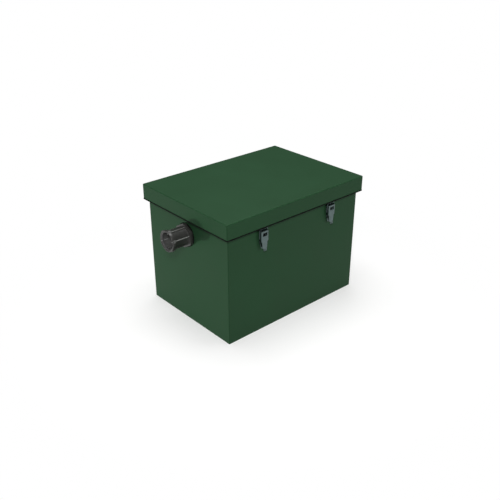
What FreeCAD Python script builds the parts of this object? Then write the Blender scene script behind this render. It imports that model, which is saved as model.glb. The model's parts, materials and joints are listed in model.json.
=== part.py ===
import FreeCAD
import Part

import math
import os

# Under-sink grease trap: a welded sheet-steel tank with a lift-off lid, a push-fit pipe socket at
# each end and four toggle latches. Millimetres. X runs along the tank from the inlet to the outlet,
# -Y is the front with two latches, and the origin is the centre of the tank's base.

# Tank
tank_length = 520.0
tank_width = 370.0
tank_height = 378.0
tank_sheet = 3.0
tank_bend_radius = 2.5
rim_flange_width = 22.0

# Lid
lid_overhang = 12.0
lid_sheet = 2.0
lid_skirt_depth = 48.0
lid_bend_radius = 3.5
gasket_thickness = 5.0
gasket_width = 16.0
gasket_edge_inset = 3.0
trim_wall = 0.8
trim_height = 3.2
trim_below_edge = 0.8

# Baffles
inlet_baffle_from_wall = 127.0
outlet_baffle_from_wall = 137.0
baffle_sheet = 3.0
baffle_below_rim = 38.0
baffle_hem = 12.0
inlet_baffle_bottom = 70.0
outlet_baffle_bottom = 50.0
flow_slot_count = 7
flow_slot_width = 30.0
flow_slot_height = 12.0
flow_slot_pitch = 46.0
flow_slot_from_bottom = 28.0

# Pipe sockets and the fittings inside
socket_below_skirt = 15.0
outlet_below_inlet = 20.0
pipe_radius = 25.0
socket_clearance = 0.3
socket_reach = 70.0
socket_stop = 18.0
sleeve_wall = 1.9
bead_length = 12.0
bead_wall = 6.5
bead_chamfer = 1.5
hex_flange_corners = 76.0
hex_flange_thickness = 9.0
rib_count = 6
rib_width = 3.0
rib_height = 2.4
lug_height = 1.6
lug_width = 9.0
tail_radius = 24.5
tail_length = 26.0
tail_clearance = 0.5
passage_radius = 22.0
washer_radius = 36.0
washer_thickness = 2.0
backnut_flats = 62.0
backnut_thickness = 10.0
thread_clearance = 0.2
seal_length = 5.0
seal_depth = 3.0
seal_clearance = 0.2
fitting_wall = 2.5
fitting_collar_wall = 2.4
fitting_turn = 40.0
elbow_corner = 24.0
inlet_elbow_bottom = 130.0
outlet_tee_bottom = 60.0
outlet_tee_rise = 48.0

# Toggle latches: u is the distance outward from the wall the latch sits on, and a drop is the
# distance below the skirt's lower edge
latch_offset = 136.0
plate_thickness = 1.5
plate_half_width = 13.0
plate_tip_half_width = 5.0
plate_top_drop = 11.5
plate_shoulder_drop = 43.5
plate_bottom_drop = 67.0
ear_thickness = 1.4
ear_radius = 2.9
ear_root_height = 10.0
pivot_u = 7.5
pivot_drop = 13.2
pin_radius = 1.4
pin_clearance = 0.2
pin_head = 0.2
lever_sheet = 1.2
lever_outer_u = 12.0
lever_inner_u = 2.6
lever_half_width = 13.0
lever_rise = 2.3
lever_shoulder_drop = 43.5
lever_step = 3.2
lever_grip_drop = 63.0
lever_grip_half_width = 8.6
lever_knuckle_radius = 4.5
finger_half_width = 6.2
finger_length = 8.2
finger_turn_out = 2.0
window_half_width = 8.0
window_top_drop = 16.5
window_height = 10.0
knuckle_half_width = 6.3
ear_gap = 0.6
wire_radius = 1.0
bail_pivot_u = 4.8
bail_pivot_drop = 33.5
bail_side_gap = 0.3
bail_bend = 2.6
bar_u = 5.9
bar_below_skirt = 6.2

# Keepers on the inside of the lid's skirt
keeper_sheet = 1.2
keeper_half_width = 6.0
keeper_length = 20.0
keeper_above_edge = 6.0
keeper_hook_drop = 8.6
keeper_lip = 1.5
bar_clearance = 0.4

# Worked out from the sizes above
half_length = tank_length / 2
half_width = tank_width / 2
wall_top = tank_height - tank_sheet
lid_top = tank_height + gasket_thickness + lid_sheet
skirt_edge = lid_top - lid_skirt_depth
skirt_inner_u = lid_overhang - lid_sheet
bore_radius = pipe_radius + socket_clearance
bar_z = skirt_edge - bar_below_skirt
pivot_z = skirt_edge - pivot_drop
bail_pivot_z = skirt_edge - bail_pivot_drop
plate_top = skirt_edge - plate_top_drop
plate_shoulder = skirt_edge - plate_shoulder_drop
plate_bottom = skirt_edge - plate_bottom_drop
lever_shoulder = skirt_edge - lever_shoulder_drop
lever_grip = skirt_edge - lever_grip_drop
window_top = skirt_edge - window_top_drop
window_bottom = window_top - window_height
inlet_height = skirt_edge - socket_below_skirt - hex_flange_corners / 2
outlet_height = inlet_height - outlet_below_inlet
baffle_top = tank_height - baffle_below_rim

UP = FreeCAD.Vector(0, 0, 1)


def box(x0, x1, y0, y1, z0, z1):
    """A block between two values on each axis."""
    return Part.makeBox(x1 - x0, y1 - y0, z1 - z0, FreeCAD.Vector(x0, y0, z0))


def rod(radius, start, end):
    """A round bar from one point to another."""
    start = FreeCAD.Vector(*start)
    along = FreeCAD.Vector(*end) - start
    return Part.makeCylinder(radius, along.Length, start, along)


def pipe_x(outer, inner, x0, x1):
    """A tube along X from x0 to x1, on the X axis."""
    tube = rod(outer, (x0, 0, 0), (x1, 0, 0))
    return tube.cut(rod(inner, (x0 - 1, 0, 0), (x1 + 1, 0, 0)))


def outline_solid(points, direction):
    """A flat outline pushed along a direction."""
    corners = [FreeCAD.Vector(*point) for point in points]
    face = Part.Face(Part.makePolygon(corners + corners[:1]))
    return face.extrude(FreeCAD.Vector(*direction))


def half_space(radius, point, direction):
    """A block that fills the space on the far side of a plane, wide enough for a bar of that radius."""
    return Part.makeCylinder(4 * radius, 4 * radius, point, direction)


def mitred_bar(radius, path):
    """A round bar along straight runs, mitred where they meet."""
    points = [FreeCAD.Vector(*point) for point in path]
    runs = [(end - start).normalize() for start, end in zip(points, points[1:])]
    solid = None
    for i, run in enumerate(runs):
        start, end = points[i], points[i + 1]
        if i > 0:
            start = start - run * (2 * radius)
        if i < len(runs) - 1:
            end = end + run * (2 * radius)
        piece = rod(radius, start, end)
        if i > 0:
            piece = piece.cut(half_space(radius, points[i], -(runs[i - 1] + run)))
        if i < len(runs) - 1:
            piece = piece.cut(half_space(radius, points[i + 1], run + runs[i + 1]))
        solid = piece if solid is None else solid.fuse(piece)
    return solid


def vertical_edges(shape):
    """The straight edges of a shape that run along Z."""
    found = []
    for edge in shape.Edges:
        if len(edge.Vertexes) == 2 and abs(edge.tangentAt(edge.FirstParameter).z) > 0.999:
            found.append(edge)
    return found


def round_outer_corners(shape, radius, x_limit, y_limit):
    """Rounds the upright edges that lie on the tank's outer corners."""
    edges = []
    for edge in vertical_edges(shape):
        point = edge.Vertexes[0].Point
        if abs(abs(point.x) - x_limit) < 0.01 and abs(abs(point.y) - y_limit) < 0.01:
            edges.append(edge)
    return shape.makeFillet(radius, edges) if edges else shape


def tank_nodes():
    """Floor, four walls and the flange turned in round the rim."""
    end_hole = tail_radius + tail_clearance
    floor = box(-half_length, half_length, -half_width, half_width, 0, tank_sheet)
    front = box(-half_length, half_length, -half_width, -half_width + tank_sheet, tank_sheet, wall_top)
    back = box(-half_length, half_length, half_width - tank_sheet, half_width, tank_sheet, wall_top)
    inner_y = half_width - tank_sheet
    inlet_end = box(-half_length, -half_length + tank_sheet, -inner_y, inner_y, tank_sheet, wall_top)
    outlet_end = box(half_length - tank_sheet, half_length, -inner_y, inner_y, tank_sheet, wall_top)
    inlet_hole = rod(end_hole, (-half_length - 1, 0, inlet_height), (-half_length + 10, 0, inlet_height))
    outlet_hole = rod(end_hole, (half_length - 10, 0, outlet_height), (half_length + 1, 0, outlet_height))
    rim = box(-half_length, half_length, -half_width, half_width, wall_top, tank_height)
    rim_x = half_length - rim_flange_width
    rim_y = half_width - rim_flange_width
    rim = rim.cut(box(-rim_x, rim_x, -rim_y, rim_y, wall_top - 1, tank_height + 1))
    nodes = {
        "floor_plate": floor,
        "front_wall": front,
        "back_wall": back,
        "rim_flange": rim,
    }
    for name, shape in nodes.items():
        nodes[name] = round_outer_corners(shape, tank_bend_radius, half_length, half_width)
    nodes["inlet_end_wall"] = inlet_end.cut(inlet_hole)
    nodes["outlet_end_wall"] = outlet_end.cut(outlet_hole)
    return nodes


def baffle(x, bottom, hem_side, slotted):
    """A plate across the tank with its top edge folded over, and a row of flow slots if asked."""
    inner_y = half_width - tank_sheet
    plate = box(x - baffle_sheet / 2, x + baffle_sheet / 2, -inner_y, inner_y, bottom, baffle_top)
    if slotted:
        slot_z = bottom + flow_slot_from_bottom
        for i in range(flow_slot_count):
            y = (i - (flow_slot_count - 1) / 2) * flow_slot_pitch
            slot = slot_cutter(x, y, slot_z)
            plate = plate.cut(slot)
    hem_start = x + hem_side * baffle_sheet / 2
    hem_end = hem_start + hem_side * baffle_hem
    hem = box(min(hem_start, hem_end), max(hem_start, hem_end), -inner_y, inner_y,
              baffle_top - baffle_sheet, baffle_top)
    return plate.fuse(hem).removeSplitter()


def slot_cutter(x, y, z):
    """A round-ended slot across a baffle, long along Y."""
    reach = baffle_sheet
    end = (flow_slot_width - flow_slot_height) / 2
    radius = flow_slot_height / 2
    body = box(x - reach, x + reach, y - end, y + end, z - radius, z + radius)
    for side in (-1, 1):
        body = body.fuse(rod(radius, (x - reach, y + side * end, z), (x + reach, y + side * end, z)))
    return body


def baffle_nodes():
    """The plate that slows the inflow and the plate that holds the grease back."""
    inlet_x = -half_length + tank_sheet + inlet_baffle_from_wall
    outlet_x = half_length - tank_sheet - outlet_baffle_from_wall
    return {
        "inlet_baffle": baffle(inlet_x, inlet_baffle_bottom, 1, True),
        "outlet_baffle": baffle(outlet_x, outlet_baffle_bottom, -1, False),
    }


def hexagon(across_corners, x0, x1):
    """A hexagonal block along X with a corner at the top."""
    radius = across_corners / 2
    points = []
    for i in range(6):
        angle = math.radians(60 * i + 90)
        points.append((x0, radius * math.cos(angle), radius * math.sin(angle)))
    return outline_solid(points, (x1 - x0, 0, 0))


def socket_body():
    """The push-fit socket, pointing along +X from a wall whose outer face is at x = 0."""
    flange_start = washer_thickness
    flange_end = flange_start + hex_flange_thickness
    bead_start = socket_reach - bead_length
    sleeve_radius = bore_radius + sleeve_wall
    bead_radius = bore_radius + bead_wall
    body = hexagon(hex_flange_corners, flange_start, flange_end)
    body = body.fuse(rod(sleeve_radius, (flange_end, 0, 0), (bead_start, 0, 0)))
    bead = rod(bead_radius, (bead_start, 0, 0), (socket_reach, 0, 0))
    bead = bead.makeChamfer(bead_chamfer, [e for e in bead.Edges if len(e.Vertexes) == 1 and e.Closed])
    body = body.fuse(bead)
    for i in range(rib_count):
        angle = 360 / rib_count * i
        rib = box(flange_end, bead_start, -rib_width / 2, rib_width / 2,
                  sleeve_radius - 1, sleeve_radius + rib_height)
        lug = box(bead_start + 2, socket_reach - 2, -lug_width / 2, lug_width / 2,
                  bead_radius - 2, bead_radius + lug_height)
        for piece in (rib, lug):
            piece.rotate(FreeCAD.Vector(0, 0, 0), FreeCAD.Vector(1, 0, 0), angle + 30)
            body = body.fuse(piece)
    body = body.fuse(rod(tail_radius, (-tail_length, 0, 0), (flange_start, 0, 0)))
    body = body.cut(rod(bore_radius, (socket_stop, 0, 0), (socket_reach + 1, 0, 0)))
    body = body.cut(rod(passage_radius, (-tail_length - 1, 0, 0), (socket_stop + 1, 0, 0)))
    seal_start, seal_end = seal_span()
    groove = rod(bore_radius + seal_depth, (seal_start, 0, 0), (seal_end, 0, 0))
    return body.cut(groove).removeSplitter()


def seal_span():
    """Where the seal's groove starts and ends inside the bead."""
    middle = socket_reach - bead_length / 2
    return middle - seal_length / 2, middle + seal_length / 2


def lip_seal():
    """The rubber ring in the bead, clear of the pipe's path."""
    start, end = seal_span()
    outer = bore_radius + seal_depth - seal_clearance
    return pipe_x(outer, bore_radius + seal_clearance, start + seal_clearance, end - seal_clearance)


def washer(x0):
    """A flat rubber washer round the socket's tail."""
    return pipe_x(washer_radius, tail_radius + tail_clearance, x0, x0 + washer_thickness)


def backnut(x_outer):
    """The nut that clamps the socket from inside the tank."""
    corners = backnut_flats / math.cos(math.radians(30))
    nut = hexagon(corners, x_outer - backnut_thickness, x_outer)
    bore = rod(tail_radius + thread_clearance, (x_outer - backnut_thickness - 1, 0, 0), (x_outer + 1, 0, 0))
    return nut.cut(bore)


def fitting_collar():
    """Where the collar of an inner fitting starts and ends on the socket's tail."""
    start = -tank_sheet - washer_thickness - backnut_thickness
    return start, -tail_length


def elbow():
    """The mitred bend that turns the inflow down, on a wall whose outer face is at x = 0."""
    collar_start, collar_end = fitting_collar()
    collar_bore = tail_radius + thread_clearance
    outer = collar_bore + fitting_collar_wall
    inner = outer - fitting_wall
    down_x = collar_end - fitting_turn
    bottom = inlet_elbow_bottom - inlet_height
    path = [
        (collar_end, 0, 0),
        (down_x + elbow_corner, 0, 0),
        (down_x, 0, -elbow_corner),
        (down_x, 0, bottom),
    ]
    beyond = [(collar_end + 1, 0, 0)] + path[1:-1] + [(down_x, 0, bottom - 1)]
    tube = mitred_bar(outer, path).cut(mitred_bar(inner, beyond))
    collar = pipe_x(outer, collar_bore, collar_end, collar_start)
    return collar.fuse(tube).removeSplitter()


def dip_tee():
    """The open-topped tee that draws the outflow from below, on a wall whose outer face is at x = 0."""
    collar_start, collar_end = fitting_collar()
    collar_bore = tail_radius + thread_clearance
    outer = collar_bore + fitting_collar_wall
    inner = outer - fitting_wall
    down_x = collar_end - fitting_turn
    drop = outlet_height - outlet_tee_bottom
    body = rod(outer, (collar_start, 0, 0), (down_x, 0, 0))
    body = body.fuse(rod(outer, (down_x, 0, -drop), (down_x, 0, outlet_tee_rise)))
    body = body.cut(rod(collar_bore, (collar_start + 1, 0, 0), (collar_end, 0, 0)))
    body = body.cut(rod(inner, (collar_end + 1, 0, 0), (down_x, 0, 0)))
    return body.cut(rod(inner, (down_x, 0, -drop - 1), (down_x, 0, outlet_tee_rise + 1)))


def fitting_nodes():
    """Both pipe connections, each clamped through its end wall."""
    pieces = {
        "socket": socket_body(),
        "lip_seal": lip_seal(),
        "outer_washer": washer(0),
        "inner_washer": washer(-tank_sheet - washer_thickness),
        "backnut": backnut(-tank_sheet - washer_thickness),
    }
    nodes = {}
    for end, height, inner_name, inner_shape in (
        ("inlet", inlet_height, "elbow", elbow()),
        ("outlet", outlet_height, "dip_tee", dip_tee()),
    ):
        for name, shape in list(pieces.items()) + [(inner_name, inner_shape)]:
            placed = shape.copy()
            if end == "inlet":
                placed.rotate(FreeCAD.Vector(0, 0, 0), UP, 180)
            side = -1 if end == "inlet" else 1
            placed.translate(FreeCAD.Vector(side * half_length, 0, height))
            nodes[end + "_" + name] = placed
    return nodes


def plate_outline(u):
    """The latch plate's shield shape at distance u from the wall."""
    return [
        (-plate_half_width, -u, plate_top),
        (plate_half_width, -u, plate_top),
        (plate_half_width, -u, plate_shoulder),
        (plate_tip_half_width, -u, plate_bottom),
        (-plate_tip_half_width, -u, plate_bottom),
        (-plate_half_width, -u, plate_shoulder),
    ]


def latch_base():
    """The riveted plate with two ears that carry the pivot pin."""
    base = outline_solid(plate_outline(0), (0, -plate_thickness, 0))
    ear_outer = lever_half_width - lever_sheet - ear_gap
    for side in (-1, 1):
        x0, x1 = sorted((side * ear_outer, side * (ear_outer - ear_thickness)))
        ear_points = [
            (x0, -plate_thickness / 2, pivot_z + ear_radius),
            (x0, -plate_thickness / 2, pivot_z - ear_root_height),
            (x0, -plate_thickness, pivot_z - ear_root_height),
            (x0, -pivot_u, pivot_z - ear_radius),
            (x0, -pivot_u, pivot_z + ear_radius),
        ]
        ear = outline_solid(ear_points, (x1 - x0, 0, 0))
        ear = ear.fuse(rod(ear_radius, (x0, -pivot_u, pivot_z), (x1, -pivot_u, pivot_z)))
        base = base.fuse(ear)
    pin_end = lever_half_width + pin_head
    base = base.fuse(rod(pin_radius, (-pin_end, -pivot_u, pivot_z), (pin_end, -pivot_u, pivot_z)))
    return base.removeSplitter()


def lever_blank(inset, u_outer, u_inner):
    """The lever's solid outline: full width at the top, stepped in, then tapered to the grip."""
    half = lever_half_width - inset
    step = lever_half_width - lever_step - inset
    grip = lever_grip_half_width - inset
    top = pivot_z + lever_rise
    points = [
        (-half, -u_outer, top),
        (half, -u_outer, top),
        (half, -u_outer, lever_shoulder + lever_step / 2),
        (step, -u_outer, lever_shoulder - lever_step / 2),
        (grip, -u_outer, lever_grip),
        (-grip, -u_outer, lever_grip),
        (-step, -u_outer, lever_shoulder - lever_step / 2),
        (-half, -u_outer, lever_shoulder + lever_step / 2),
    ]
    return outline_solid(points, (0, u_outer - u_inner, 0))


def lever_side_profile():
    """The lever seen from the side: round about the pivot, deep in the middle, shallow at the grip."""
    far = lever_half_width + 1
    knuckle_bottom = pivot_z - 14.0
    points = [
        (-far, -pivot_u, pivot_z + lever_knuckle_radius),
        (-far, -lever_outer_u, pivot_z + lever_knuckle_radius),
        (-far, -lever_outer_u, lever_grip),
        (-far, -lever_outer_u + 2 * lever_sheet, lever_grip),
        (-far, -lever_inner_u, lever_shoulder),
        (-far, -lever_inner_u, knuckle_bottom),
        (-far, -pivot_u + lever_knuckle_radius, pivot_z),
        (-far, -pivot_u, pivot_z),
    ]
    side = outline_solid(points, (2 * far, 0, 0))
    return side.fuse(rod(lever_knuckle_radius, (-far, -pivot_u, pivot_z), (far, -pivot_u, pivot_z)))


def latch_lever():
    """The pressed channel with its window, pivot knuckle and finger tab."""
    channel = lever_blank(0, lever_outer_u, lever_inner_u)
    hollow = lever_blank(lever_sheet, lever_outer_u - lever_sheet, -1)
    hollow = hollow.fuse(box(-lever_half_width + lever_sheet, lever_half_width - lever_sheet,
                             -lever_outer_u + lever_sheet, 0, lever_shoulder + lever_step, pivot_z + 10))
    hollow = hollow.fuse(box(-lever_grip_half_width + lever_sheet, lever_grip_half_width - lever_sheet,
                             -lever_outer_u + lever_sheet, 0, lever_grip - 5, lever_grip + 5))
    lever = channel.common(lever_side_profile()).cut(hollow)
    knuckle_outer = lever_outer_u - pivot_u - 0.5
    knuckle = rod(knuckle_outer - 0.8, (-knuckle_half_width, -pivot_u, pivot_z),
                  (knuckle_half_width, -pivot_u, pivot_z))
    web_strip = box(-knuckle_half_width, knuckle_half_width, -lever_outer_u + lever_sheet / 2, -pivot_u,
                    window_top, pivot_z + lever_rise)
    lever = lever.fuse(knuckle).fuse(web_strip)
    lever = lever.cut(box(-window_half_width, window_half_width, -lever_outer_u - 1, -pivot_u + 1,
                          window_bottom, window_top))
    hole = pin_radius + pin_clearance
    far = lever_half_width + 1
    lever = lever.cut(rod(hole, (-far, -pivot_u, pivot_z), (far, -pivot_u, pivot_z)))
    wire_hole = wire_radius + pin_clearance
    lever = lever.cut(rod(wire_hole, (-far, -bail_pivot_u, bail_pivot_z), (far, -bail_pivot_u, bail_pivot_z)))
    finger = [
        (-finger_half_width, -lever_outer_u, lever_grip),
        (-finger_half_width, -lever_outer_u + lever_sheet, lever_grip),
        (-finger_half_width, -lever_outer_u + lever_sheet - finger_turn_out, lever_grip - finger_length),
        (-finger_half_width, -lever_outer_u - finger_turn_out, lever_grip - finger_length),
    ]
    return lever.fuse(outline_solid(finger, (2 * finger_half_width, 0, 0))).removeSplitter()


def latch_bail():
    """The wire loop: two legs outside the lever, a bar across the top and ends turned into the lever."""
    leg_x = lever_half_width + bail_side_gap + wire_radius
    end_x = lever_half_width - lever_sheet - wire_radius / 2
    lean = math.atan2(bar_u - bail_pivot_u, bar_z - bail_pivot_z)
    length = math.hypot(bar_u - bail_pivot_u, bar_z - bail_pivot_z)
    wire = rod(wire_radius, (-leg_x + bail_bend, 0, length), (leg_x - bail_bend, 0, length))
    for side in (-1, 1):
        leg = mitred_bar(wire_radius, [(side * end_x, 0, 0), (side * leg_x, 0, 0),
                                       (side * leg_x, 0, length - bail_bend)])
        centre = FreeCAD.Vector(side * (leg_x - bail_bend), 0, length - bail_bend)
        start = FreeCAD.Vector(side * leg_x, 0, length - bail_bend)
        disc = Part.Face(Part.Wire(Part.makeCircle(wire_radius, start, UP)))
        corner = disc.revolve(centre, FreeCAD.Vector(0, -side, 0), 90)
        wire = wire.fuse(leg).fuse(corner)
    wire.rotate(FreeCAD.Vector(0, 0, 0), FreeCAD.Vector(1, 0, 0), math.degrees(lean))
    wire.translate(FreeCAD.Vector(0, -bail_pivot_u, bail_pivot_z))
    return wire.removeSplitter()


def keeper():
    """The hooked strip on the skirt's inner face that the bail's bar pulls on."""
    hook_outer = bar_u - wire_radius - bar_clearance
    strip_u = hook_outer - keeper_lip
    foot_bottom = skirt_edge + keeper_above_edge
    hook_bottom = skirt_edge - keeper_hook_drop
    points = [
        (-keeper_half_width, -skirt_inner_u, foot_bottom + keeper_length),
        (-keeper_half_width, -skirt_inner_u, foot_bottom),
        (-keeper_half_width, -strip_u - keeper_sheet, foot_bottom - keeper_sheet),
        (-keeper_half_width, -strip_u - keeper_sheet, hook_bottom + keeper_sheet),
        (-keeper_half_width, -hook_outer, hook_bottom + keeper_sheet),
        (-keeper_half_width, -hook_outer, hook_bottom),
        (-keeper_half_width, -strip_u, hook_bottom),
        (-keeper_half_width, -strip_u, foot_bottom),
        (-keeper_half_width, -skirt_inner_u + keeper_sheet, foot_bottom + keeper_sheet),
        (-keeper_half_width, -skirt_inner_u + keeper_sheet, foot_bottom + keeper_length),
    ]
    return outline_solid(points, (2 * keeper_half_width, 0, 0))


def on_walls(shape):
    """Copies of a latch piece at its four places, by name."""
    placed = {}
    for side in ("front", "back"):
        for place in ("left", "right"):
            copy = shape.copy()
            copy.translate(FreeCAD.Vector(0, -half_width, 0))
            if side == "back":
                copy.rotate(FreeCAD.Vector(0, 0, 0), UP, 180)
            x = -latch_offset if place == "left" else latch_offset
            copy.translate(FreeCAD.Vector(x, 0, 0))
            placed[side + "_" + place] = copy
    return placed


def latch_nodes():
    """Four toggle latches: base, lever and wire bail each."""
    nodes = {}
    for name, shape in (("base", latch_base()), ("lever", latch_lever()), ("bail", latch_bail())):
        for place, copy in on_walls(shape).items():
            nodes[place + "_latch_" + name] = copy
    nodes["lid_keepers"] = Part.makeCompound(list(on_walls(keeper()).values()))
    return nodes


def lid_nodes():
    """The folded lid, the rubber trim pushed on its skirt's edge and the foam gasket stuck under it."""
    outer_x = half_length + lid_overhang
    outer_y = half_width + lid_overhang
    pan = box(-outer_x, outer_x, -outer_y, outer_y, skirt_edge, lid_top)
    rounded = []
    for edge in pan.Edges:
        if max(vertex.Point.z for vertex in edge.Vertexes) > lid_top - 0.01:
            rounded.append(edge)
    pan = pan.makeFillet(lid_bend_radius, rounded)
    inner_x = outer_x - lid_sheet
    inner_y = outer_y - lid_sheet
    hollow = box(-inner_x, inner_x, -inner_y, inner_y, skirt_edge - 1, lid_top - lid_sheet)
    inner_bend = lid_bend_radius - lid_sheet
    inner_edges = []
    for edge in hollow.Edges:
        if max(vertex.Point.z for vertex in edge.Vertexes) > lid_top - lid_sheet - 0.01:
            inner_edges.append(edge)
    hollow = hollow.makeFillet(inner_bend, inner_edges)
    gasket_x = half_length - gasket_edge_inset
    gasket_y = half_width - gasket_edge_inset
    inside_x = gasket_x - gasket_width
    inside_y = gasket_y - gasket_width
    gasket_top = tank_height + gasket_thickness
    gasket = box(-gasket_x, gasket_x, -gasket_y, gasket_y, tank_height, gasket_top)
    gasket = gasket.cut(box(-inside_x, inside_x, -inside_y, inside_y, tank_height - 1, gasket_top + 1))
    lid = pan.cut(hollow)
    trim_low = skirt_edge - trim_below_edge
    trim_high = trim_low + trim_height
    trim_x = outer_x + trim_wall
    trim_y = outer_y + trim_wall
    trim = box(-trim_x, trim_x, -trim_y, trim_y, trim_low, trim_high)
    trim = trim.makeFillet(lid_bend_radius + trim_wall, vertical_edges(trim))
    core_x = inner_x - trim_wall
    core_y = inner_y - trim_wall
    core = box(-core_x, core_x, -core_y, core_y, trim_low - 1, trim_high + 1)
    core = core.makeFillet(inner_bend - trim_wall, vertical_edges(core))
    trim = trim.cut(core).cut(lid)
    return {"lid": lid, "lid_edge_trim": trim, "lid_gasket": gasket}


os.makedirs("parts", exist_ok=True)
all_nodes = {}
for group in (tank_nodes(), baffle_nodes(), fitting_nodes(), latch_nodes(), lid_nodes()):
    all_nodes.update(group)
for node_name, node_shape in all_nodes.items():
    node_shape.exportStep("parts/" + node_name + ".step")
    print(node_name, node_shape.isValid(), len(node_shape.Solids), round(node_shape.Volume, 1))
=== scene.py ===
import json
import math

import bmesh
import bpy
from mathutils import Euler, Matrix, Vector


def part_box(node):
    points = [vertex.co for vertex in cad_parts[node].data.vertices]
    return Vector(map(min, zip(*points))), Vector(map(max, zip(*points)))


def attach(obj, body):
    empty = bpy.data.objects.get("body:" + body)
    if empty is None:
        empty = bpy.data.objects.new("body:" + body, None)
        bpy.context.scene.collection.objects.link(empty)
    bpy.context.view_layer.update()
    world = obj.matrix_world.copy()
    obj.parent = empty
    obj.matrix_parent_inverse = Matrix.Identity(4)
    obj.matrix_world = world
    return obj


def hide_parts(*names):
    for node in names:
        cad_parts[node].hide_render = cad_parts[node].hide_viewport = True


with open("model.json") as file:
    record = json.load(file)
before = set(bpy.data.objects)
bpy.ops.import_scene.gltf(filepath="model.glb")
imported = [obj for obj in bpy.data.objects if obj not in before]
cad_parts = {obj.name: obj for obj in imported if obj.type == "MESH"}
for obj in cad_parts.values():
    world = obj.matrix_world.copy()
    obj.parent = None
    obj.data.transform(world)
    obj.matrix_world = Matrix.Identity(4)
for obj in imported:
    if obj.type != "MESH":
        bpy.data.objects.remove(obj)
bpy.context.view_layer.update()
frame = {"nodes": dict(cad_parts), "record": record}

MM = 0.001

KEY_POWER = 55
OVERHEAD_POWER = 54.5
LOW_POWER = 7.9
RIGHT_POWER = 3.0
WORLD_STRENGTH = 0.138

# Sizes that the frame doesn't give, in millimetres. Names with a U are distances out from the wall.
LATCH_OFFSET = 136.0
PLATE_THICKNESS = 1.5
WALL_SHEET = 3.0
LEVER_SHEET = 1.2
LEVER_OUTER = 12.0
LEVER_INNER = 2.6
LEVER_HALF_WIDTH = 13.0
LEVER_STEP = 3.2
LEVER_BEND = 1.6
LEVER_RISE = 2.3
EAR_RADIUS = 4.5
GRIP_HALF_WIDTH = 8.6
WINDOW_HALF_WIDTH = 8.0
WINDOW_HEIGHT = 10.0
FINGER_HALF_WIDTH = 6.2
FINGER_TURN_OUT = 2.0
FINGER_LENGTH = 8.2
KNUCKLE_HALF_WIDTH = 6.3
PIVOT_U = 7.5
PIN_HOLE_RADIUS = 1.6
WIRE_RADIUS = 1.0
BAIL_PIVOT_U = 4.8
BAR_U = 5.9
BAIL_BEND = 2.6
BAIL_SIDE_GAP = 0.3
KEEPER_FACE_U = 8.8
WELD_RADIUS = 1.6
WELD_PITCH = 1.9
SEAL_HALF_WALL = 1.3
SLEEVE_RADIUS = 27.2
BORE_RADIUS = 25.3
BEAD_RADIUS = 31.8
BEAD_LENGTH = 12.0
FLANGE_CORNER = 38.0
FLANGE_START = 2.0
FLANGE_END = 11.0
FLANGE_HOLE_RADIUS = 26.4
SOCKET_STOP = 18.0
PASSAGE_RADIUS = 22.0
TAIL_RADIUS = 24.5
TAIL_LENGTH = 26.0
GROOVE_RADIUS = 28.3
LEAD_IN_RADIUS = 29.2
RIB_HEIGHT = 2.4
LUG_HEIGHT = 1.4
GUIDE_HEIGHT = 0.25

# How far below the lid's lower edge the latch's parts stand, in millimetres
PIVOT_DROP = 13.2
BAIL_PIVOT_DROP = 33.5
BAR_DROP = 6.2
WINDOW_DROP = 16.5
SHOULDER_DROP = 43.5
GRIP_DROP = 63.0
RIVET_DROPS = (25.0, 56.0)

# How far above the lid's lower edge the keepers' spot welds stand, in millimetres
SPOT_WELD_RISES = (13.0, 21.0)

# The angle that the first rib stands round from level
RIB_TURN = math.radians(15)

tank_low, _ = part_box("floor_plate")
_, rim_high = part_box("rim_flange")
lid_low, lid_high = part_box("lid")
HALF_LENGTH = -tank_low.x / MM
HALF_WIDTH = -tank_low.y / MM
SKIRT_EDGE = lid_low.z / MM
PIVOT_Z = SKIRT_EDGE - PIVOT_DROP
BAIL_PIVOT_Z = SKIRT_EDGE - BAIL_PIVOT_DROP
BAR_Z = SKIRT_EDGE - BAR_DROP
SHOULDER_Z = SKIRT_EDGE - SHOULDER_DROP
GRIP_Z = SKIRT_EDGE - GRIP_DROP
# From this height down to the shoulder the lever's side flanges have their full depth.
DEEP_Z = PIVOT_Z - 14.0


def colour(code):
    """An sRGB hex colour as linear red, green, blue and alpha."""
    linear = []
    for start in (0, 2, 4):
        value = int(code[start:start + 2], 16) / 255
        linear.append(value / 12.92 if value <= 0.04045 else ((value + 0.055) / 1.055) ** 2.4)
    return (*linear, 1.0)


def per_metre(size_mm):
    """The texture scale that repeats about once in this many millimetres."""
    return 1 / (size_mm * MM)


def add(tree, kind, settings=None, inputs=None):
    """A node with its settings, and its inputs as values or as links from other sockets."""
    made = tree.nodes.new(kind)
    for key, value in (settings or {}).items():
        setattr(made, key, value)
    for key, value in (inputs or {}).items():
        if isinstance(value, bpy.types.NodeSocket):
            tree.links.new(value, made.inputs[key])
        else:
            made.inputs[key].default_value = value
    return made


def blank_material(name):
    """A material with an empty tree."""
    material = bpy.data.materials.new(name)
    material.use_nodes = True
    material.node_tree.nodes.clear()
    return material, material.node_tree


def finish_surface(tree, surface, bump=None):
    """Joins a shader's tree to the output, with a bump if there is one."""
    if bump is not None:
        tree.links.new(bump.outputs["Normal"], surface.inputs["Normal"])
    add(tree, "ShaderNodeOutputMaterial", inputs={"Surface": surface.outputs["BSDF"]})


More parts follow.
